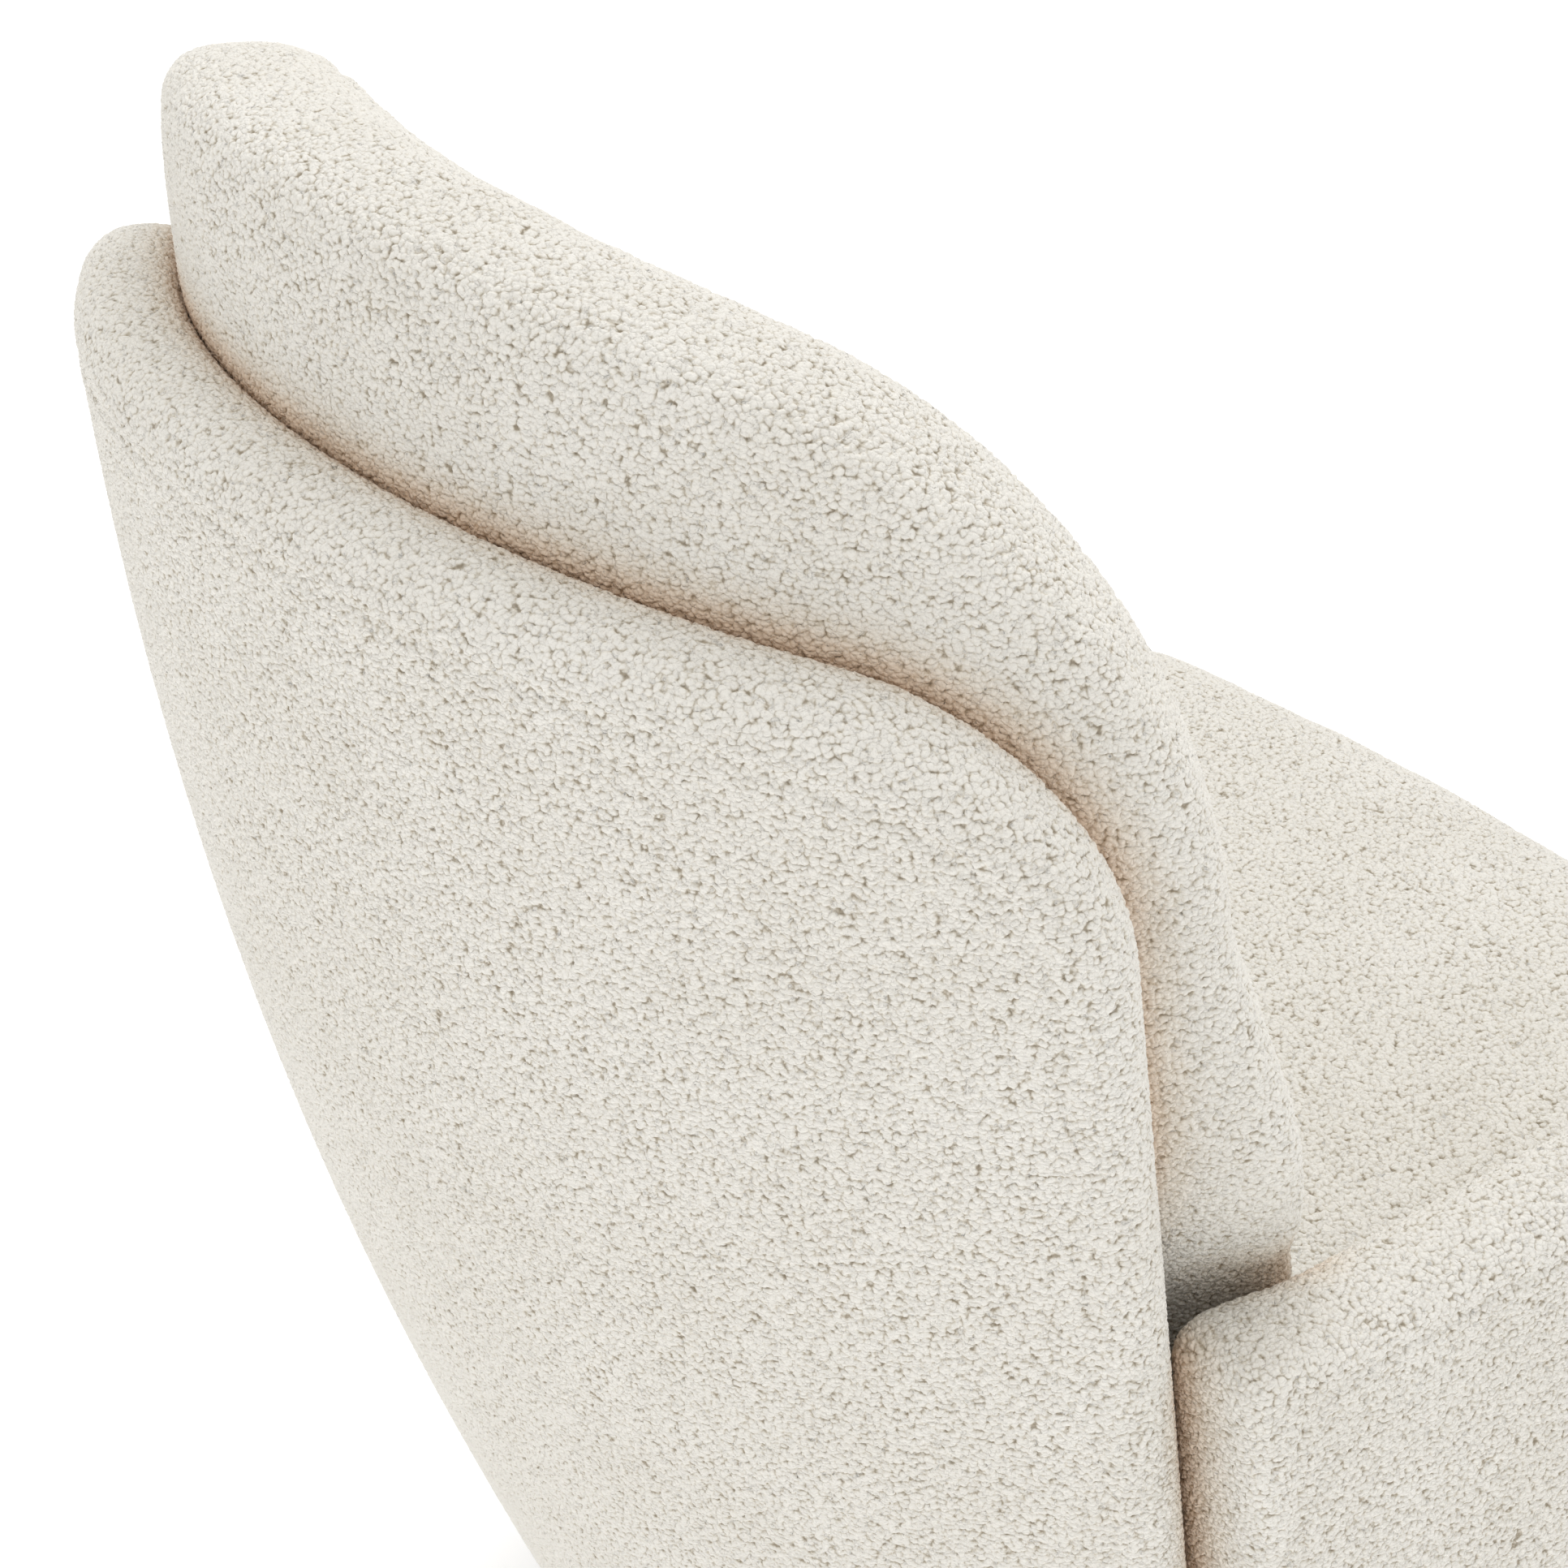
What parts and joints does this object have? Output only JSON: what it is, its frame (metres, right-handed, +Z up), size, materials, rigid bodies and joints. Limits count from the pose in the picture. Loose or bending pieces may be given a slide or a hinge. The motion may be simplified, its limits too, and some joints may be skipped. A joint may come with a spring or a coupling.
{
  "type": "upholstered armchair",
  "caption": "Swivel armchair with a high curved shell, a thick inner back rising above it, low padded arms and a bowed seat cushion on a recessed round plinth.",
  "frame": {"origin": "on the floor, under the middle of the chair's box", "axes": "+Z up, the seat faces -Y, +X towards the sitter's left"},
  "size_m": [0.7236, 0.7612, 1.012],
  "materials": {
    "boucle": "ivory boucle, looped pile, matt",
    "foam": "open-cell polyurethane foam",
    "black_cloth": "non-woven black dust cover",
    "deck_felt": "needled felt pad",
    "webbing": "woven elastic webbing",
    "timber": "planed hardwood",
    "plywood": "birch plywood",
    "plate_steel": "black powder coat",
    "fastener_steel": "zinc plated",
    "spring_wire": "oil-tempered wire",
    "ball_chrome": "polished",
    "cage_plastic": "matt",
    "glide_nylon": "matt",
    "plinth_black": "satin black lacquer"
  },
  "bodies": {
    "plinth": {"base_glides": "glide_nylon", "base_drum": "plinth_black", "swivel_lower_plate": "plate_steel", "swivel_lower_screws": "fastener_steel", "king_pin": "plate_steel", "pin_retainer": "fastener_steel", "ball_cage": "cage_plastic", "bearing_balls": "ball_chrome"},
    "chair": {"swivel_upper_plate": "plate_steel", "swivel_upper_bolts": "fastener_steel", "dust_cover": "black_cloth", "base_board": "plywood", "corner_posts": "timber", "front_rail": "timber", "back_rail": "timber", "side_rail_left": "timber", "side_rail_right": "timber", "corner_blocks": "timber", "frame_screws": "fastener_steel", "spring_clips": "fastener_steel", "seat_springs": "spring_wire", "spring_ties": "webbing", "deck_cloth": "deck_felt", "seat_foam": "foam", "seat_cover": "boucle", "front_foam": "foam", "front_cover": "boucle", "back_post_left": "timber", "back_post_right": "timber", "back_top_rail": "plywood", "back_middle_rail": "plywood", "back_lower_rail": "plywood", "back_webbing": "webbing", "shell_foam": "foam", "shell_cover": "boucle", "inner_back_foam": "foam", "inner_back_cover": "boucle", "arm_panel_left": "plywood", "arm_panel_right": "plywood", "arm_rail_left": "timber", "arm_rail_right": "timber", "arm_foam_left": "foam", "arm_foam_right": "foam", "arm_cover_left": "boucle", "arm_cover_right": "boucle"}
  },
  "joints": [
    {"name": "seat_swivel", "type": "hinge", "parent": "plinth", "child": "chair", "pos_m": [0, -0.075, 0.045], "axis": [0, 0, 1], "continuous": true}
  ]
}
